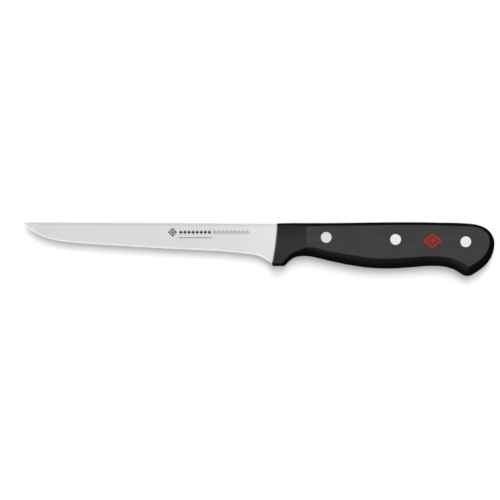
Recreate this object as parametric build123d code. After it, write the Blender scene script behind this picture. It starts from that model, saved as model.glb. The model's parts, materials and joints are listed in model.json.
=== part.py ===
from build123d import *
import math
import os

# Boning knife with a fixed blade, a full tang and two riveted handle scales.
#
# The knife lies on its right side on the plane z = 0.  +X runs from the point of the blade
# to the butt of the handle, +Y from the cutting edge to the spine, and +Z from the right
# side to the left side.  The origin is the bottom centre of the knife's box.
#
# The outlines below are drawn in the handle's own plane: x back from the front top corner
# of the handle, y up from it, and z out of the middle plane of the steel.

# ---------------------------------------------------------------- driving dimensions, mm
BLADE_LENGTH = 140.3        # point to the front top corner of the handle
HANDLE_THICKNESS = 16.0     # across both scales
TANG_THICKNESS = 2.0        # sheet steel
SPINE_THICKNESS = 1.95      # ground steel where the blade leaves the handle
DISTAL_TAPER = 0.0062       # spine thickness lost for each mm towards the point
SPINE_EASE_WIDTH = 1.5      # softened strip beside the spine, on each side
SPINE_EASE_DEPTH = 0.12     # and how far it falls below the blade's face
SPINE_EASE_SHARE = 0.2      # its most at the point, as a share of the blade's depth there
POINT_TAPER_LENGTH = 7.0    # the last stretch, which thins to nothing at the point
POINT_THICKNESS = 0.15      # left at the very point, as a share of full thickness
SHOULDER_THICKNESS = 0.5    # behind the sharpened strip
BEVEL_WIDTH = 0.8           # sharpened strip along the edge, on each side
BEVEL_SHARE = 0.6           # its most at the point, as a share of the blade's depth there
EDGE_THICKNESS = 0.04       # the edge itself
BLUNTEST_EDGE = 0.9         # where it isn't sharpened, as a share of the shoulder
BEVEL_END = 4.2             # the sharpened strip stops this far in front of the tang
BEVEL_FADE = 1.6            # and fades out over this length

RAMP_LENGTH = 16.0          # front of each scale, planed down towards the blade
RAMP_DROP_AT_SPINE = 2.75   # depth taken off at the very front, on the spine side
RAMP_DROP_AT_BELLY = 2.1    # and on the belly side, so that the ramp is slightly twisted
RAMP_SPINE_SIDE = 1.0       # y of the two lines that the twist runs between
RAMP_BELLY_SIDE = -25.0
RAMP_OVERSHOOT = 6.0        # the cut runs this far past the front
BAND_ANGLE_TANG = 70.0      # lean of the handle's rounded rim beside the tang, degrees
BAND_ANGLE_FLAT = 33.0      # lean of the rounded rim where it meets the flat side
RIM_LEVELS = (0.0, 0.25, 0.5, 0.72, 0.88, 1.0)
CREASE_RADIUS = 0.4         # softened crease around each flat side

RIVET_CENTRES = {"front": (26.95, -7.7), "middle": (65.2, -8.85), "rear": (103.85, -10.1)}
RIVET_HEAD_DIAMETER = 6.1
RIVET_HEAD_DEPTH = 2.2
RIVET_EDGE_RADIUS = 0.18
BARREL_DIAMETER = 4.9
SHANK_DIAMETER = 3.9
SHANK_LENGTH = 8.6
BORE_DEPTH = 9.6
RIVET_CLEARANCE = 0.05      # on the diameter, round heads, barrels and shanks

INLAY_CENTRE = (85.5, -9.6)
INLAY_LENGTH = 10.2         # lozenge, corner to corner along the handle
INLAY_HEIGHT = 8.2          # lozenge, corner to corner across the handle
INLAY_WALL = 0.95           # width of the lozenge's red frame
INLAY_DEPTH = 0.8
INLAY_CORNER_RADIUS = 0.5
INLAY_HEART_SCALE = 0.34    # the small lozenge in the middle, against the outer one

HALF_TANG = TANG_THICKNESS / 2
HALF_HANDLE = HANDLE_THICKNESS / 2
OVERCUT = 1.0               # a cut runs this far past the surface that it opens

# ---------------------------------------------------------------- handle outline
# Each station is a point of the widest outline, at the tang, and the point of the flat
# side's rim that it leans in to: (x, y), (x, y).
TOP_AND_BUTT = [
    ((0.55, 0.13), (2.2, -1.6)),
    ((8.0, 0.29), (9.0, -1.6)),
    ((22.0, 0.26), (22.0, -1.27)),
    ((35.0, 0.33), (35.0, -1.17)),
    ((50.0, 0.56), (50.0, -0.97)),
    ((66.0, 0.74), (66.0, -0.75)),
    ((82.0, 0.69), (81.5, -0.8)),
    ((92.0, 0.51), (91.0, -1.0)),
    ((105.0, 0.07), (103.7, -1.45)),
    ((112.8, -1.31), (110.6, -2.2)),
    ((117.15, -3.85), (114.6, -4.35)),
    ((119.9, -8.25), (117.0, -8.1)),
    ((120.18, -13.0), (116.8, -12.4)),
    ((117.35, -20.55), (113.7, -18.0)),
    ((113.1, -24.95), (110.3, -21.3)),
    ((108.1, -28.3), (107.0, -23.3)),
]
BEAK = [
    ((108.1, -28.3), (107.0, -23.3)),
    ((105.6, -29.05), (105.9, -23.65)),
    ((103.5, -28.65), (104.9, -23.35)),
]
BELLY = [
    ((103.5, -28.65), (104.9, -23.35)),
    ((99.3, -26.2), (100.8, -21.15)),
    ((94.8, -24.4), (95.9, -19.2)),
    ((88.0, -23.5), (88.3, -18.1)),
    ((74.9, -24.2), (74.6, -18.68)),
    ((61.6, -24.92), (61.8, -19.4)),
    ((48.3, -24.22), (49.2, -18.85)),
    ((35.0, -22.0), (36.2, -16.65)),
    ((24.0, -19.48), (25.0, -14.5)),
    ((15.0, -18.0), (15.2, -13.3)),
    ((10.6, -18.55), (9.5, -14.95)),
    ((8.4, -19.48), (6.8, -16.15)),
    ((6.35, -21.1), (4.4, -18.0)),
    ((4.9, -22.75), (2.65, -19.95)),
]
BOLSTER_HEEL = [
    ((4.9, -22.75), (2.65, -19.95)),
    ((4.15, -23.33), (2.15, -20.6)),
    ((3.1, -23.56), (1.4, -20.9)),
]
BOLSTER_FOOT = [
    ((3.1, -23.56), (1.4, -20.9)),
    ((-1.6, -23.56), (-0.2, -20.9)),
]
FRONT_LOWER_CORNER = [
    ((-1.6, -23.56), (-0.2, -20.9)),
    ((-2.59, -23.1), (-0.85, -20.6)),
    ((-2.88, -22.05), (-0.98, -19.85)),
]
FRONT = [
    ((-2.88, -22.05), (-0.98, -19.85)),
    ((-1.08, -11.5), (0.6, -11.0)),
    ((-0.15, -0.6), (1.5, -2.3)),
]
FRONT_UPPER_CORNER = [
    ((-0.15, -0.6), (1.5, -2.3)),
    ((0.05, -0.1), (1.7, -1.8)),
    ((0.55, 0.13), (2.2, -1.6)),
]

# ---------------------------------------------------------------- blade outline
SPINE_ENDS = [(-140.15, 0.64), (3.0, -0.19)]
EDGE_POINTS = [
    (-BLADE_LENGTH, 0.1),
    (-138.2, -2.15),
    (-136.2, -3.65),
    (-133.5, -5.3),
    (-126.8, -8.2),
    (-115.7, -10.25),
    (-98.0, -11.6),
    (-70.0, -13.35),
    (-42.6, -14.7),
    (-24.9, -15.8),
    (-16.0, -16.8),
    (-9.3, -18.2),
    (-4.9, -20.8),
    (-1.6, -23.0),
]
BLADE_SECTIONS = 28
LEAST_BEVEL = 0.02          # what is left of the sharpened strip inside the handle


def lean(share):
    """How far the rim has leaned in, 0 to 1, at a share of the way up from the tang."""
    start = math.radians(BAND_ANGLE_TANG)
    end = math.radians(BAND_ANGLE_FLAT)
    angle = math.acos(math.cos(start) + share * (math.cos(end) - math.cos(start)))
    return (math.sin(start) - math.sin(angle)) / (math.sin(start) - math.sin(end))


def stations_at(stretch, share):
    """The points of one stretch of the outline, at a share of the way up from the tang."""
    height = HALF_TANG + share * (HALF_HANDLE - HALF_TANG)
    step = lean(share)
    points = []
    for (outer_x, outer_y), (rim_x, rim_y) in stretch:
        x = outer_x + step * (rim_x - outer_x)
        y = outer_y + step * (rim_y - outer_y)
        points.append(Vector(x, y, height))
    return points


def smooth_stretch(stretch, share, start_tangent, end_tangent):
    """A smooth curve through one stretch, paced alike at every level of the rim."""
    outer = [Vector(*point) for point, _ in stretch]
    pace = [0.0]
    for before, after in zip(outer, outer[1:]):
        pace.append(pace[-1] + (after - before).length)
    points = stations_at(stretch, share)
    return Edge.make_spline(points, tangents=[start_tangent, end_tangent], parameters=pace)


def handle_outline(share):
    """The handle's closed outline at a share of the way up from the tang to the flat."""
    beak = ThreePointArc(*stations_at(BEAK, share))
    heel = ThreePointArc(*stations_at(BOLSTER_HEEL, share))
    foot = Line(*stations_at(BOLSTER_FOOT, share))
    lower_corner = ThreePointArc(*stations_at(FRONT_LOWER_CORNER, share))
    front = ThreePointArc(*stations_at(FRONT, share))
    upper_corner = ThreePointArc(*stations_at(FRONT_UPPER_CORNER, share))
    top_and_butt = smooth_stretch(TOP_AND_BUTT, share, upper_corner % 1, beak % 0)
    belly = smooth_stretch(BELLY, share, beak % 1, heel % 0)
    return Wire([top_and_butt, beak, belly, heel, foot, lower_corner, front, upper_corner])


def ramp_profile(y, drop):
    """The space above the ramp, cut square across the handle at one y."""
    top = HALF_HANDLE
    slope = drop / RAMP_LENGTH
    corners = [
        (RAMP_LENGTH, y, top),
        (-RAMP_OVERSHOOT, y, top - slope * (RAMP_LENGTH + RAMP_OVERSHOOT)),
        (-RAMP_OVERSHOOT, y, top + OVERCUT),
        (RAMP_LENGTH, y, top + OVERCUT),
    ]
    return Wire(Polyline(*corners, close=True).edges())


def ramp_tool():
    """The solid that is taken off the front of a scale to leave the twisted ramp."""
    spine_side = ramp_profile(RAMP_SPINE_SIDE, RAMP_DROP_AT_SPINE)
    belly_side = ramp_profile(RAMP_BELLY_SIDE, RAMP_DROP_AT_BELLY)
    return Solid.make_loft([spine_side, belly_side], ruled=True)


def make_scale():
    """One handle scale, above the tang: a rounded rim, a flat side and the front ramp."""
    scale = Solid.make_loft([handle_outline(share) for share in RIM_LEVELS])
    scale = scale - ramp_tool()
    upper_faces = [face for face in scale.faces() if face.normal_at().Z > 0.9]
    creases = upper_faces[0].outer_wire().edges()
    creases += [edge for edge in upper_faces[1].outer_wire().edges() if edge not in creases]
    scale = scale.fillet(CREASE_RADIUS, creases)
    for x, y in RIVET_CENTRES.values():
        hole = Cylinder((BARREL_DIAMETER + RIVET_CLEARANCE) / 2, HANDLE_THICKNESS)
        seat = Cylinder(
            (RIVET_HEAD_DIAMETER + RIVET_CLEARANCE) / 2,
            RIVET_HEAD_DEPTH + OVERCUT,
            align=(Align.CENTER, Align.CENTER, Align.MIN),
        )
        scale = scale - Pos(x, y, HALF_HANDLE) * hole
        scale = scale - Pos(x, y, HALF_HANDLE - RIVET_HEAD_DEPTH) * seat
    return scale


def lozenge(length, height, corner_radius):
    """A rounded lozenge, lying along the handle."""
    outline = Polyline(
        (length / 2, 0), (0, height / 2), (-length / 2, 0), (0, -height / 2), close=True
    )
    face = make_face(outline)
    return fillet(face.vertices(), corner_radius)


def make_inlay():
    """The red lozenge frame and its middle, sunk in the left scale's flat side."""
    outer = lozenge(INLAY_LENGTH, INLAY_HEIGHT, INLAY_CORNER_RADIUS)
    side = math.hypot(INLAY_LENGTH, INLAY_HEIGHT)
    shrink = 1.0 - 2 * INLAY_WALL * side / (INLAY_LENGTH * INLAY_HEIGHT)
    inner = lozenge(INLAY_LENGTH * shrink, INLAY_HEIGHT * shrink, INLAY_CORNER_RADIUS * shrink)
    heart_length = INLAY_LENGTH * INLAY_HEART_SCALE
    heart_height = INLAY_HEIGHT * INLAY_HEART_SCALE
    heart = lozenge(heart_length, heart_height, INLAY_CORNER_RADIUS * INLAY_HEART_SCALE)
    place = Pos(*INLAY_CENTRE, HALF_HANDLE - INLAY_DEPTH)
    frame = place * extrude(outer - inner, amount=INLAY_DEPTH)
    centre = place * extrude(heart, amount=INLAY_DEPTH)
    return frame, centre


def blade_section(spine, edge, share):
    """The blade cut across from its edge to its spine, at a share of its length."""
    along_edge = share * edge.length
    low = edge.position_at(along_edge, PositionMode.LENGTH)
    high = spine.position_at(share * spine.length, PositionMode.LENGTH)
    tangent = edge.tangent_at(along_edge, PositionMode.LENGTH)
    width = (high - low).length
    up = (high - low).normalized()

    from_point = min(1.0, (high.X - spine.start_point().X) / POINT_TAPER_LENGTH)
    fullness = POINT_THICKNESS + (1.0 - POINT_THICKNESS) * (1.0 - (1.0 - from_point) ** 2)
    face_half = fullness * (SPINE_THICKNESS + DISTAL_TAPER * min(high.X, 0.0)) / 2
    spine_half = face_half - fullness * SPINE_EASE_DEPTH
    eased = high - up * min(SPINE_EASE_WIDTH, SPINE_EASE_SHARE * width)

    to_bevel_end = -BEVEL_END - low.X
    sharpened = min(1.0, max(LEAST_BEVEL, to_bevel_end / BEVEL_FADE))
    squareness = abs(tangent.cross(up).Z)
    full_reach = BEVEL_WIDTH / squareness
    narrowing = min(1.0, BEVEL_SHARE * width / full_reach)
    shoulder = low + up * full_reach * min(sharpened, narrowing)
    shoulder_half = narrowing * SHOULDER_THICKNESS / 2
    edge_half = max(narrowing * EDGE_THICKNESS / 2, shoulder_half * (1.0 - sharpened))
    edge_half = min(edge_half, BLUNTEST_EDGE * shoulder_half)

    left = [(high, spine_half), (eased, face_half), (shoulder, shoulder_half), (low, edge_half)]
    right = [(point, -half) for point, half in reversed(left)]
    corners = [Vector(point.X, point.Y, half) for point, half in left + right]
    return Wire(Polyline(*corners, close=True).edges())


def make_blade():
    """The ground blade and the full tang, in one piece of steel."""
    spine = Line(*SPINE_ENDS)
    edge = Spline(*EDGE_POINTS)
    steps = [math.pi * k / BLADE_SECTIONS for k in range(BLADE_SECTIONS + 1)]
    shares = [(1.0 - math.cos(step)) / 2 for step in steps]
    ground = Solid.make_loft([blade_section(spine, edge, share) for share in shares])

    outline = Pos(0, 0, -HALF_TANG) * Face(handle_outline(0.0))
    tang = Pos(0, 0, -HALF_TANG) * extrude(outline, amount=TANG_THICKNESS, dir=(0, 0, 1))
    steel = tang + ground
    for x, y in RIVET_CENTRES.values():
        radius = (BARREL_DIAMETER + RIVET_CLEARANCE) / 2
        steel = steel - Pos(x, y, 0) * Cylinder(radius, TANG_THICKNESS + 2 * OVERCUT)
    return steel


def rivet_head():
    """The flat round head that both halves of a rivet have, its face at z = 0."""
    head = Cylinder(
        RIVET_HEAD_DIAMETER / 2,
        RIVET_HEAD_DEPTH,
        align=(Align.CENTER, Align.CENTER, Align.MAX),
    )
    face_rim = head.edges().filter_by(GeomType.CIRCLE).sort_by(Axis.Z)[-1]
    return fillet(face_rim, RIVET_EDGE_RADIUS)


def make_rivet_pin():
    """The solid half, with its head on the left side."""
    shank = Cylinder(
        SHANK_DIAMETER / 2,
        RIVET_HEAD_DEPTH + SHANK_LENGTH,
        align=(Align.CENTER, Align.CENTER, Align.MAX),
    )
    return Pos(0, 0, HALF_HANDLE) * (rivet_head() + shank)


def make_rivet_sleeve():
    """The hollow half, with its head on the right side."""
    barrel_length = HANDLE_THICKNESS - RIVET_HEAD_DEPTH - RIVET_CLEARANCE
    barrel = Cylinder(
        BARREL_DIAMETER / 2, barrel_length, align=(Align.CENTER, Align.CENTER, Align.MAX)
    )
    bore = Pos(0, 0, BORE_DEPTH - barrel_length) * Cylinder(
        (SHANK_DIAMETER + RIVET_CLEARANCE) / 2,
        BORE_DEPTH,
        align=(Align.CENTER, Align.CENTER, Align.MAX),
    )
    sleeve = rivet_head() + barrel - bore
    return Pos(0, 0, -HALF_HANDLE) * Rot(180, 0, 0) * sleeve


def main():
    os.makedirs("parts", exist_ok=True)

    blade = make_blade()
    scale = make_scale()
    frame, centre = make_inlay()
    parts = {
        "blade": blade,
        "left_scale": scale - frame - centre,
        "right_scale": mirror(scale, about=Plane.XY),
        "inlay_frame": frame,
        "inlay_centre": centre,
    }
    for place, (x, y) in RIVET_CENTRES.items():
        parts[f"{place}_rivet_pin"] = Pos(x, y, 0) * make_rivet_pin()
        parts[f"{place}_rivet_sleeve"] = Pos(x, y, 0) * make_rivet_sleeve()

    box = blade.bounding_box()
    middle = (box.min + box.max) * 0.5
    to_origin = Pos(-middle.X, -middle.Y, HALF_HANDLE)
    for name, shape in parts.items():
        export_step(to_origin * shape, f"parts/{name}.step")
    print("knife length", round(box.size.X, 2), "depth", round(box.size.Y, 2))
    print("handle frame origin", round(-middle.X, 3), round(-middle.Y, 3))


main()
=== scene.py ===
import json
import math

import bmesh
import bpy
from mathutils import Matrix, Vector
from mathutils.bvhtree import BVHTree


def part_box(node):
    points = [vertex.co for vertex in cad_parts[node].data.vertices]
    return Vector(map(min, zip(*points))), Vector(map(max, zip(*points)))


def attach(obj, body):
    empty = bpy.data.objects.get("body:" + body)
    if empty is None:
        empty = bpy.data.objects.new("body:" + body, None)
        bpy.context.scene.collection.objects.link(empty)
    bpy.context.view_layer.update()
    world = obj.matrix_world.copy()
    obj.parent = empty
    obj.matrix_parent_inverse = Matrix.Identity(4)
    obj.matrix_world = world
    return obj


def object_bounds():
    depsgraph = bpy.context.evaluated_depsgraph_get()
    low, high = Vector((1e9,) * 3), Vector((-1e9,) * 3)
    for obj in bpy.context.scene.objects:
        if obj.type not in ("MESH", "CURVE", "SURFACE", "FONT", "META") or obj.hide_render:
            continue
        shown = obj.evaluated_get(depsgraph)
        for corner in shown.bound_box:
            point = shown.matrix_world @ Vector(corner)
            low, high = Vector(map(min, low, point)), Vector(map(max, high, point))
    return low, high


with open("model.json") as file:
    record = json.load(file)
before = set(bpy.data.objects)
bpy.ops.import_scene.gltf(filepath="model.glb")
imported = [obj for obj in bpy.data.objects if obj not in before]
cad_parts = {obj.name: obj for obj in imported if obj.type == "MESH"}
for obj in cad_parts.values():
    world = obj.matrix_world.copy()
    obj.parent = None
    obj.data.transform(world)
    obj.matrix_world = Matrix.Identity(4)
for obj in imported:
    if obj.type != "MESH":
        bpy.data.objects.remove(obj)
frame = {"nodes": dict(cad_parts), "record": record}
cad_low, cad_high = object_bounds()

# ---------------------------------------------------------------- sizes, metres
# The picture: its width at the knife's middle height, and where it is centred.
PICTURE_WIDTH = 0.27705
PICTURE_CENTRE_FROM_KNIFE = (-0.00505, -0.0005)
LENS_MM = 180.0
SENSOR_MM = 36.0
FLOOR_SIZE = 6.0
# The floor fades to plain white between these distances from the knife's middle.
FLOOR_FADE_START = 0.26
FLOOR_FADE_END = 0.7

# The etched ornament on the blade: from the handle towards the point, a row of pale open
# lozenges, a row of dark ones with a row of dashes below it, and a lozenge device.
MARK_GAP_TO_HANDLE = 0.0125
MARK_DROP_FROM_SPINE = 0.0056
MARK_RELIEF = 0.000012      # how far a mark stands over the blade, and how deep it sits
PALE_ROW_LENGTH = 0.0203
PALE_ROW_COUNT = 9
DARK_ROW_LENGTH = 0.0181
DARK_ROW_COUNT = 8
ROW_GAP = 0.0007
ROW_HEIGHT = 0.0023
LOZENGE_SHARE = 0.92        # of the room that each lozenge has in its row
PALE_HOLLOW = 0.6           # the open middle of a pale lozenge, against its outline
DEVICE_SIZE = 0.0049
DEVICE_HOLLOW = 0.62        # its open part and the small lozenge inside, against its size
DEVICE_HEART = 0.38
DEVICE_GAP = 0.0010
DASH_ROW_DROP = 0.0030
DASH_ROW_COUNT = 15
DASH_SHARE = 0.66           # of the room that each dash has in its row
DASH_HEIGHT = 0.00048

# ---------------------------------------------------------------- finishes, with painted light and shade
# How pale or how metallic a surface is, by how far it leans from the knife's flat side:
# each stop is (degrees, level). The blade's face leans by 2 to 3, and by up to 9 near the
# point; its sharpened strip leans by 15 to 18. The steel's own grey is 0.83; the paler greys,
# from 6 degrees up, are painted highlight, and the low metallic on the strip lets it show white.
BLADE_GREYS_AND_PAINTED_HIGHLIGHT = [(0, 0.83), (4, 0.83), (6, 0.95), (9, 0.95), (12, 1.0), (90, 1.0)]
BLADE_METALLIC = [(0, 0.7), (9, 0.7), (12, 0.1), (60, 0.1), (75, 0.5)]
# The strip beside the spine leans towards it by 4 to 5, and is painted darker: painted shade.
SPINE_STRIP_START = 3.9
SPINE_STRIP_FULL = 4.5
SPINE_STRIP_PAINTED_SHADE = 0.8
# The blade's face is painted brighter near the heel, a painted highlight: these distances are from
# the handle's front.
HEEL_PAINTED_LIGHT_START = 0.021
HEEL_PAINTED_LIGHT_FULL = 0.006
SHADE_BEFORE_HEEL = 0.93
# The handle is flat on its sides, and leans by 8 to 10 on the ramp and by 33 or more on its rim.
# The ramp and the rim are painted darker than the flat sides, the ramp graded across it: painted
# shade.
HANDLE_PAINTED_SHADES = [
    (0, 0.0245),
    (4, 0.0245),
    (7.9, 0.009),
    (8.7, 0.0165),
    (9.6, 0.001),
    (20, 0.005),
    (90, 0.002),
]

# The grain of each noise, in cells to the metre along x, y and z; the rings run outwards.
GRINDING_LINES = (9000.0, 90.0, 90.0)
STEEL_CLOUDS = (60.0, 25.0, 60.0)
PLASTIC_GRAIN = (7000.0, 7000.0, 7000.0)
PLASTIC_CLOUDS = (70.0, 70.0, 70.0)
PLASTIC_STREAKS = (55.0, 420.0, 200.0)
INLAY_CLOUDS = (900.0, 900.0, 900.0)
ETCHED_GRAIN = (6000.0, 6000.0, 6000.0)
TURNED_RINGS = 9000.0
# Most of a noise lies in the first span; the second gives it more contrast.
NOISE_SPAN = (0.3, 0.7)
CRISP_SPAN = (0.35, 0.65)
# The steel between its bright grinding lines, and the plastic's streaks.
BETWEEN_LINES = (0.93, 0.93, 0.935)
DARK_STREAK = 0.82
PALE_STREAK = 1.07

# How bright each rivet's metal is, and how much duller its rings are in between. The front rivet's
# lower value is painted shade.
RIVET_BRIGHTNESS_AND_PAINTED_SHADE = {"front": 0.79, "middle": 0.91, "rear": 0.91}
RING_SHADE = 0.87

# ---------------------------------------------------------------- light
# Each patch of the sky fades at its sides; a higher number makes them crisper.
PATCH_CRISPNESS = 4.0
# The softbox overhead, by how far the direction leans in x and y: 0 is straight up, 1 level.
SOFTBOX_CENTRE = (0.05, 0.0)
SOFTBOX_HALF = (0.30, 0.70)
SOFTBOX_STRENGTH = 0.80
# A weaker patch, low on the point's side and towards the edge.
REFLECTOR_CENTRE = (-0.5, -0.7)
REFLECTOR_HALF = (0.4, 0.6)
REFLECTOR_STRENGTH = 0.35
# The dim room round them is lighter towards the spine and the point, and dark below.
ROOM_STRENGTH = 0.25
ROOM_TOWARD_SPINE = 0.6
ROOM_TOWARD_BUTT = -0.3
BELOW_STRENGTH = 0.02
# The key, a long oval lamp high up on the spine side.
KEY_TILT_DEGREES = 21.3
KEY_LEAN_TO_BUTT = 0.08
KEY_DISTANCE = 1.6
KEY_WIDTH = 0.45
KEY_LENGTH = 1.36
KEY_POWER = 18.5
# How pale the floor is, and how much light it gives off.
FLOOR_SHADE = 0.9
FLOOR_GLOW = 0.165
# The fill below the knife, for views from under it.
FILL_DEPTH = 1.2
FILL_SIZE = 1.0
FILL_POWER = 32.0


# ---------------------------------------------------------------- node helpers
def add(tree, kind, **settings):
    """A node with its named properties or input sockets set."""
    made = tree.nodes.new(kind)
    for name, value in settings.items():
        label = name.replace("_", " ")
        if hasattr(made, name):
            setattr(made, name, value)
        else:
            made.inputs[label].default_value = value
    return made


def math_node(tree, operation, first, second=0.0):
    """A maths node; each operand is a number or an output socket, and some take only one."""
    made = tree.nodes.new("ShaderNodeMath")
    made.operation = operation
    for index, operand in enumerate((first, second)):
        if isinstance(operand, (int, float)):
            made.inputs[index].default_value = operand
        else:
            tree.links.new(operand, made.inputs[index])
    return made.outputs[0]


def new_material(name, roughness, metallic=0.0, specular=0.5):
    """A material with one Principled shader; returns the material, its tree and the shader."""
    material = bpy.data.materials.new(name)
    material.use_nodes = True
    tree = material.node_tree
    shader = tree.nodes["Principled BSDF"]
    shader.inputs["Roughness"].default_value = roughness
    shader.inputs["Metallic"].default_value = metallic
    shader.inputs["Specular IOR Level"].default_value = specular
    return material, tree, shader


def stretched_noise(tree, scale, detail):
    """Noise whose grain is scale cells to the metre along each axis."""
    place = add(tree, "ShaderNodeTexCoord")
    mapping = add(tree, "ShaderNodeMapping")
    mapping.inputs["Scale"].default_value = scale
    noise = add(tree, "ShaderNodeTexNoise", Scale=1.0, Detail=detail, Roughness=0.6)
    tree.links.new(place.outputs["Object"], mapping.inputs["Vector"])
    tree.links.new(mapping.outputs["Vector"], noise.inputs["Vector"])
    return noise.outputs["Fac"]


def grey(level):
    """A neutral colour."""
    return (level, level, level)


def blend_colours(tree, factor, span, low_colour, high_colour):
    """A colour that runs between two as the factor crosses the span."""
    ramp = add(tree, "ShaderNodeValToRGB")
    for element, position, colour in zip(ramp.color_ramp.elements, span, (low_colour, high_colour)):
        element.position = position
        element.color = (*colour, 1.0)
    tree.links.new(factor, ramp.inputs["Fac"])
    return ramp.outputs["Color"]


def remap(tree, value, start=0.0, end=1.0, low=0.0, high=1.0, **settings):
    """The value's run from start to end, mapped to the run from low to high."""
    made = add(tree, "ShaderNodeMapRange", **settings)
    made.inputs["From Min"].default_value = start
    made.inputs["From Max"].default_value = end
    made.inputs["To Min"].default_value = low
    made.inputs["To Max"].default_value = high
    tree.links.new(value, made.inputs["Value"])
    return made.outputs["Result"]


def coordinates(tree, kind):
    """The x, y and z of one of the texture coordinates."""
    place = add(tree, "ShaderNodeTexCoord")
    axes = add(tree, "ShaderNodeSeparateXYZ")
    tree.links.new(place.outputs[kind], axes.inputs["Vector"])
    return axes.outputs


def bump(tree, shader, height, strength, distance):
    """Surface relief from a height, with its depth in metres."""
    made = add(tree, "ShaderNodeBump", Strength=strength, Distance=distance)
    tree.links.new(height, made.inputs["Height"])
    tree.links.new(made.outputs["Normal"], shader.inputs["Normal"])


def tilt_from_flat(tree):
    """How far the surface leans from the knife's flat side: 0 is flat, 1 is upright."""
    level = math_node(tree, "ABSOLUTE", coordinates(tree, "Normal")["Z"])
    angle = math_node(tree, "ARCCOSINE", math_node(tree, "MINIMUM", level, 1.0))
    return math_node(tree, "DIVIDE", angle, math.pi / 2)


def by_tilt(tree, stops):
    """A grey that changes with the surface's lean; stops are (degrees, grey)."""
    ramp = add(tree, "ShaderNodeValToRGB")
    elements = ramp.color_ramp.elements
    while len(elements) < len(stops):
        elements.new(0.5)
    for element, (degrees, level) in zip(elements, stops):
        element.position = degrees / 90.0
        element.color = (*grey(level), 1.0)
    tree.links.new(tilt_from_flat(tree), ramp.inputs["Fac"])
    return ramp.outputs["Color"]


def toward_spine(tree, start, end):
    """0 where the surface leans towards the spine by less than start degrees, 1 past end."""
    low, high = (math.sin(math.radians(degrees)) for degrees in (start, end))
    return remap(tree, coordinates(tree, "Normal")["Y"], low, high)


def tinted(tree, colour, shade):
    """One colour multiplied by another."""
    mix = add(tree, "ShaderNodeMix", data_type="RGBA", blend_type="MULTIPLY")
    mix.inputs["Factor"].default_value = 1.0
    tree.links.new(colour, mix.inputs["A"])
    tree.links.new(shade, mix.inputs["B"])
    return mix.outputs["Result"]


# ---------------------------------------------------------------- materials
def steel_material():
    """Satin steel, ground from the spine to the edge; painted highlight on the sharpened strip, the
    point and the heel, painted shade beside the spine.
    """
    material, tree, shader = new_material("blade_steel_satin", roughness=0.3)
    lines = stretched_noise(tree, GRINDING_LINES, detail=4.0)
    clouds = stretched_noise(tree, STEEL_CLOUDS, detail=2.0)
    ground = blend_colours(tree, lines, NOISE_SPAN, BETWEEN_LINES, grey(1.0))

    handle_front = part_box("left_scale")[0].x
    # Painted highlight: the face is painted brighter towards the heel.
    along = coordinates(tree, "Object")["X"]
    heel = remap(tree, along, handle_front - HEEL_PAINTED_LIGHT_START, handle_front - HEEL_PAINTED_LIGHT_FULL)
    painted_heel_light = blend_colours(tree, heel, (0.0, 1.0), grey(SHADE_BEFORE_HEEL), grey(1.0))

    # Painted shade: the strip beside the spine is painted darker.
    strip = toward_spine(tree, SPINE_STRIP_START, SPINE_STRIP_FULL)
    painted_spine_shade = blend_colours(tree, strip, (0.0, 1.0), grey(1.0), grey(SPINE_STRIP_PAINTED_SHADE))
    # Painted highlight: paler greys where the surface leans more, near the point, on the sharpened
    # strip and on upright faces.
    greys_and_painted_light = tinted(tree, by_tilt(tree, BLADE_GREYS_AND_PAINTED_HIGHLIGHT), painted_spine_shade)
    colour = tinted(tree, tinted(tree, ground, painted_heel_light), greys_and_painted_light)
    tree.links.new(colour, shader.inputs["Base Color"])
    tree.links.new(by_tilt(tree, BLADE_METALLIC), shader.inputs["Metallic"])
    tree.links.new(remap(tree, clouds, low=0.26, high=0.36), shader.inputs["Roughness"])
    bump(tree, shader, lines, strength=0.12, distance=0.00002)
    return material


def plastic_material():
    """Black moulded satin plastic with random streaks; its ramp and rim are painted darker than its
    flat sides: painted shade.
    """
    material, tree, shader = new_material("handle_plastic_satin", roughness=0.4, specular=0.42)
    grain = stretched_noise(tree, PLASTIC_GRAIN, detail=2.0)
    clouds = stretched_noise(tree, PLASTIC_CLOUDS, detail=3.0)
    streaks = stretched_noise(tree, PLASTIC_STREAKS, detail=2.0)
    streaked = blend_colours(tree, streaks, CRISP_SPAN, grey(DARK_STREAK), grey(PALE_STREAK))
    # Painted shade: the ramp and the rim are darker than the flat sides.
    colour = tinted(tree, streaked, by_tilt(tree, HANDLE_PAINTED_SHADES))
    tree.links.new(colour, shader.inputs["Base Color"])
    tree.links.new(remap(tree, clouds, low=0.34, high=0.42), shader.inputs["Roughness"])
    bump(tree, shader, grain, strength=0.15, distance=0.00003)
    return material


def rivet_material(name, centre, brightness):
    """Rivet metal with fine turned rings about the middle of its head."""
    material, tree, shader = new_material(name, roughness=0.3, metallic=0.75)
    place = add(tree, "ShaderNodeTexCoord")
    offset = add(tree, "ShaderNodeVectorMath", operation="SUBTRACT")
    offset.inputs[1].default_value = centre
    flatten = add(tree, "ShaderNodeVectorMath", operation="MULTIPLY")
    flatten.inputs[1].default_value = (1.0, 1.0, 0.0)
    distance = add(tree, "ShaderNodeVectorMath", operation="LENGTH")
    tree.links.new(place.outputs["Object"], offset.inputs[0])
    tree.links.new(offset.outputs["Vector"], flatten.inputs[0])
    tree.links.new(flatten.outputs["Vector"], distance.inputs[0])
    rings = add(tree, "ShaderNodeTexNoise", noise_dimensions="1D", Scale=TURNED_RINGS, Detail=3.0)
    tree.links.new(distance.outputs["Value"], rings.inputs["W"])
    dull = grey(RING_SHADE * brightness)
    colour = blend_colours(tree, rings.outputs["Fac"], NOISE_SPAN, dull, grey(brightness))
    tree.links.new(colour, shader.inputs["Base Color"])
    bump(tree, shader, rings.outputs["Fac"], strength=0.1, distance=0.00002)
    return material


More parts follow.
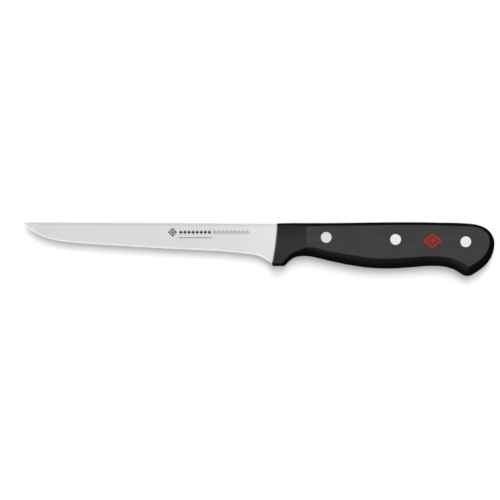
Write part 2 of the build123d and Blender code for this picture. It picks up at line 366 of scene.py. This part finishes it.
def inlay_material():
    """Red enamel-like plastic, smooth and slightly mottled."""
    material, tree, shader = new_material("inlay_red_smooth", roughness=0.35, specular=0.2)
    clouds = stretched_noise(tree, INLAY_CLOUDS, detail=2.0)
    deep_red = (0.40, 0.003, 0.005)
    bright_red = (0.50, 0.005, 0.008)
    colour = blend_colours(tree, clouds, NOISE_SPAN, deep_red, bright_red)
    tree.links.new(colour, shader.inputs["Base Color"])
    bump(tree, shader, clouds, strength=0.05, distance=0.00002)
    return material


def etch_material(name, dark, light):
    """Etched steel: matt, darker than the ground surface, a little uneven."""
    material, tree, shader = new_material(name, roughness=0.6, metallic=0.3)
    grain = stretched_noise(tree, ETCHED_GRAIN, detail=2.0)
    colour = blend_colours(tree, grain, CRISP_SPAN, grey(dark), grey(light))
    tree.links.new(colour, shader.inputs["Base Color"])
    bump(tree, shader, grain, strength=0.2, distance=0.00001)
    return material


def mixed(tree, share, first, second):
    """A shader that turns from the first into the second as the share runs from 0 to 1."""
    mix = add(tree, "ShaderNodeMixShader")
    tree.links.new(share, mix.inputs["Fac"])
    tree.links.new(first, mix.inputs[1])
    tree.links.new(second, mix.inputs[2])
    return mix.outputs["Shader"]


def share_away(tree):
    """0 near the knife, 1 far out on the floor."""
    place = add(tree, "ShaderNodeTexCoord")
    distance = add(tree, "ShaderNodeVectorMath", operation="LENGTH")
    tree.links.new(place.outputs["Object"], distance.inputs[0])
    return remap(
        tree,
        distance.outputs["Value"],
        FLOOR_FADE_START,
        FLOOR_FADE_END,
        interpolation_type="SMOOTHSTEP",
    )


def clear_share(tree):
    """1 from below, and for light on its way up to the knife's underside; 0 otherwise."""
    side = add(tree, "ShaderNodeNewGeometry")
    rays = add(tree, "ShaderNodeLightPath")
    unbounced = math_node(tree, "LESS_THAN", rays.outputs["Diffuse Depth"], 0.5)
    to_fill = math_node(tree, "MULTIPLY", rays.outputs["Is Shadow Ray"], unbounced)
    return math_node(tree, "MAXIMUM", to_fill, side.outputs["Backfacing"])


def floor_material():
    """A plain pale studio floor, clear from below, which lets the fill reach the underside."""
    material, tree, shader = new_material("floor_pale", roughness=0.9, specular=0.0)
    shader.inputs["Base Color"].default_value = (*grey(FLOOR_SHADE), 1.0)
    shader.inputs["Emission Color"].default_value = (*grey(1.0), 1.0)
    shader.inputs["Emission Strength"].default_value = FLOOR_GLOW
    white = add(tree, "ShaderNodeEmission", Strength=1.0)
    clear = add(tree, "ShaderNodeBsdfTransparent")
    faded = mixed(tree, share_away(tree), shader.outputs["BSDF"], white.outputs["Emission"])
    surface = mixed(tree, clear_share(tree), faded, clear.outputs["BSDF"])
    tree.links.new(surface, tree.nodes["Material Output"].inputs["Surface"])
    return material


# ---------------------------------------------------------------- etched ornament
def blade_height_finder():
    """A function that gives the height of the blade's left side at a place."""
    tree = BVHTree.FromObject(frame["nodes"]["blade"], bpy.context.evaluated_depsgraph_get())

    def height(x, y):
        hit, _, _, _ = tree.ray_cast(Vector((x, y, 1.0)), Vector((0.0, 0.0, -1.0)))
        return hit.z

    return height


def raised_outline(mesh, height, rings):
    """Adds a thin plate over one ring of points, or between an outer and an inner ring."""
    layers = []
    for ring in rings:
        low = [mesh.verts.new((x, y, height(x, y) - MARK_RELIEF)) for x, y in ring]
        high = [mesh.verts.new((x, y, height(x, y) + MARK_RELIEF)) for x, y in ring]
        layers.append((low, high))
    count = len(rings[0])
    outer_low, outer_high = layers[0]
    for k in range(count):
        after = (k + 1) % count
        mesh.faces.new((outer_low[k], outer_low[after], outer_high[after], outer_high[k]))
    if len(rings) == 1:
        mesh.faces.new(outer_high)
        mesh.faces.new(list(reversed(outer_low)))
        return
    inner_low, inner_high = layers[1]
    for k in range(count):
        after = (k + 1) % count
        mesh.faces.new((inner_high[k], inner_high[after], inner_low[after], inner_low[k]))
        mesh.faces.new((outer_high[k], outer_high[after], inner_high[after], inner_high[k]))
        mesh.faces.new((inner_low[k], inner_low[after], outer_low[after], outer_low[k]))


def lozenge(x, y, width, depth):
    """The corners of a lozenge, anticlockwise."""
    return [(x + width / 2, y), (x, y + depth / 2), (x - width / 2, y), (x, y - depth / 2)]


def make_piece(name, mesh, material):
    """Turns a bmesh into a piece of the knife."""
    data = bpy.data.meshes.new(name)
    mesh.normal_update()
    mesh.to_mesh(data)
    mesh.free()
    data.materials.append(material)
    piece = bpy.data.objects.new(name, data)
    bpy.context.scene.collection.objects.link(piece)
    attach(piece, "root")


def row_centres(left, length, count):
    """The middles of evenly spaced marks in a row."""
    step = length / count
    return [left + (k + 0.5) * step for k in range(count)]


def make_dark_row(left, middle, device_x, height, finish):
    """A row of solid lozenges and, in front of it, the lozenge device."""
    mesh = bmesh.new()
    width = LOZENGE_SHARE * DARK_ROW_LENGTH / DARK_ROW_COUNT
    for x in row_centres(left, DARK_ROW_LENGTH, DARK_ROW_COUNT):
        raised_outline(mesh, height, [lozenge(x, middle, width, ROW_HEIGHT)])
    sizes = [DEVICE_SIZE * share for share in (1.0, DEVICE_HOLLOW, DEVICE_HEART)]
    outer, inner, heart = [lozenge(device_x, middle, size, size) for size in sizes]
    raised_outline(mesh, height, [outer, inner])
    raised_outline(mesh, height, [heart])
    make_piece("etched_dark_row", mesh, finish)


def make_pale_row(left, middle, height):
    """A row of open lozenges."""
    mesh = bmesh.new()
    width = LOZENGE_SHARE * PALE_ROW_LENGTH / PALE_ROW_COUNT
    for x in row_centres(left, PALE_ROW_LENGTH, PALE_ROW_COUNT):
        outer = lozenge(x, middle, width, ROW_HEIGHT)
        inner = lozenge(x, middle, width * PALE_HOLLOW, ROW_HEIGHT * PALE_HOLLOW)
        raised_outline(mesh, height, [outer, inner])
    finish = etch_material("etched_pale", dark=0.13, light=0.20)
    make_piece("etched_pale_row", mesh, finish)


def make_dash_row(left, middle, height, finish):
    """A row of dashes as long as the dark row."""
    mesh = bmesh.new()
    half = DASH_SHARE * DARK_ROW_LENGTH / DASH_ROW_COUNT / 2
    low = middle - DASH_HEIGHT / 2
    high = low + DASH_HEIGHT
    for x in row_centres(left, DARK_ROW_LENGTH, DASH_ROW_COUNT):
        bar = [(x + half, low), (x + half, high), (x - half, high), (x - half, low)]
        raised_outline(mesh, height, [bar])
    make_piece("etched_dash_row", mesh, finish)


def make_etched_ornament():
    """Rows of lozenges and dashes and a lozenge device, on the blade's left side."""
    height = blade_height_finder()
    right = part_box("left_scale")[0].x - MARK_GAP_TO_HANDLE
    middle = cad_high.y - MARK_DROP_FROM_SPINE
    pale_left = right - PALE_ROW_LENGTH
    dark_left = pale_left - ROW_GAP - DARK_ROW_LENGTH
    device_x = dark_left - DEVICE_GAP - DEVICE_SIZE / 2
    dark_finish = etch_material("etched_dark", dark=0.045, light=0.08)
    make_dark_row(dark_left, middle, device_x, height, dark_finish)
    make_pale_row(pale_left, middle, height)
    make_dash_row(dark_left, middle - DASH_ROW_DROP, height, dark_finish)


# ---------------------------------------------------------------- finishes of the CAD parts
def dress_frame():
    """Gives every CAD part the material of its slot; each rivet's rings have its own centre."""
    finishes = {
        "blade_steel": steel_material(),
        "handle_plastic": plastic_material(),
        "inlay_red": inlay_material(),
    }
    for part in frame["record"]["subparts"]:
        name = part["node"]
        if part["material_slot"] == "rivet_metal":
            low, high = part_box(name)
            # The front rivet is painted darker: painted shade.
            brightness = RIVET_BRIGHTNESS_AND_PAINTED_SHADE[name.split("_")[0]]
            material = rivet_material(f"{name}_satin", (low + high) / 2, brightness)
        else:
            material = finishes[part["material_slot"]]
        for slot in frame["nodes"][name].material_slots:
            slot.material = material


# ---------------------------------------------------------------- stage, light and camera
def make_floor():
    """A flat pale floor at the height the knife rests on."""
    half = FLOOR_SIZE / 2
    data = bpy.data.meshes.new("floor")
    corners = [(-half, -half), (half, -half), (half, half), (-half, half)]
    data.from_pydata([(x, y, cad_low.z) for x, y in corners], [], [(0, 1, 2, 3)])
    data.materials.append(floor_material())
    floor = bpy.data.objects.new("floor", data)
    bpy.context.scene.collection.objects.link(floor)
    floor.visible_glossy = False
    floor.visible_diffuse = False


def soft_patch(tree, axes, centre, half, strength):
    """Light from a patch of the sky with soft sides, by how far its direction leans in x and y."""
    total = 0.0
    for axis, middle, reach in zip(axes, centre, half):
        share = math_node(tree, "DIVIDE", math_node(tree, "SUBTRACT", axis, middle), reach)
        share = math_node(tree, "ABSOLUTE", share)
        total = math_node(tree, "ADD", math_node(tree, "POWER", share, PATCH_CRISPNESS), total)
    falloff = math_node(tree, "EXPONENT", math_node(tree, "MULTIPLY", total, -1.0))
    return math_node(tree, "MULTIPLY", falloff, strength)


def make_sky():
    """Two patches of light in a dim room; the camera sees plain white past the floor."""
    world = bpy.data.worlds.new("soft_sky")
    bpy.context.scene.world = world
    world.use_nodes = True
    tree = world.node_tree
    background = tree.nodes["Background"]
    x, y, z = coordinates(tree, "Generated")
    softbox = soft_patch(tree, (x, y), SOFTBOX_CENTRE, SOFTBOX_HALF, SOFTBOX_STRENGTH)
    reflector = soft_patch(tree, (x, y), REFLECTOR_CENTRE, REFLECTOR_HALF, REFLECTOR_STRENGTH)
    patches = math_node(tree, "ADD", softbox, reflector)
    to_butt = math_node(tree, "MULTIPLY", x, ROOM_TOWARD_BUTT * ROOM_STRENGTH)
    to_spine = math_node(tree, "MULTIPLY", y, ROOM_TOWARD_SPINE * ROOM_STRENGTH)
    uneven = math_node(tree, "ADD", to_butt, to_spine)
    room = math_node(tree, "ADD", uneven, ROOM_STRENGTH)
    above = math_node(tree, "GREATER_THAN", z, 0.0)
    light = math_node(tree, "MULTIPLY", math_node(tree, "ADD", patches, room), above)
    light = math_node(tree, "MAXIMUM", light, BELOW_STRENGTH)
    rays = add(tree, "ShaderNodeLightPath")
    seen = math_node(tree, "MAXIMUM", light, rays.outputs["Is Camera Ray"])
    tree.links.new(seen, background.inputs["Strength"])
    background.inputs["Color"].default_value = (*grey(1.0), 1.0)


def make_key():
    """A long oval lamp on the spine side, which casts the shadow along the edge side."""
    lamp = bpy.data.lights.new("key", "AREA")
    lamp.shape = "ELLIPSE"
    lamp.size = KEY_WIDTH
    lamp.size_y = KEY_LENGTH
    lamp.energy = KEY_POWER
    key = bpy.data.objects.new("key", lamp)
    bpy.context.scene.collection.objects.link(key)
    tilt = math.radians(KEY_TILT_DEGREES)
    toward_key = Vector((KEY_LEAN_TO_BUTT, math.sin(tilt), math.cos(tilt)))
    key.location = toward_key * KEY_DISTANCE
    key.rotation_euler = (-tilt, 0.0, 0.0)
    key.visible_glossy = False


def make_fill():
    """A soft lamp under the clear side of the floor, for views from below."""
    lamp = bpy.data.lights.new("fill", "AREA")
    lamp.shape = "DISK"
    lamp.size = FILL_SIZE
    lamp.energy = FILL_POWER
    fill = bpy.data.objects.new("fill", lamp)
    bpy.context.scene.collection.objects.link(fill)
    fill.location = (0.0, 0.0, -FILL_DEPTH)
    fill.rotation_euler = (math.pi, 0.0, 0.0)
    fill.visible_glossy = False
    fill.visible_camera = False


def make_camera():
    """Straight above the knife, which lies on its side with the spine at the top."""
    data = bpy.data.cameras.new("camera")
    data.lens = LENS_MM
    data.sensor_width = SENSOR_MM
    camera = bpy.data.objects.new("camera", data)
    bpy.context.scene.collection.objects.link(camera)
    centre = (cad_low + cad_high) / 2
    offset = Vector((*PICTURE_CENTRE_FROM_KNIFE, PICTURE_WIDTH * LENS_MM / SENSOR_MM))
    camera.location = centre + offset
    camera.rotation_euler = (0.0, 0.0, 0.0)
    bpy.context.scene.camera = camera


dress_frame()
make_etched_ornament()
make_floor()
make_sky()
make_key()
make_fill()
make_camera()
bpy.context.scene.view_settings.view_transform = "Standard"
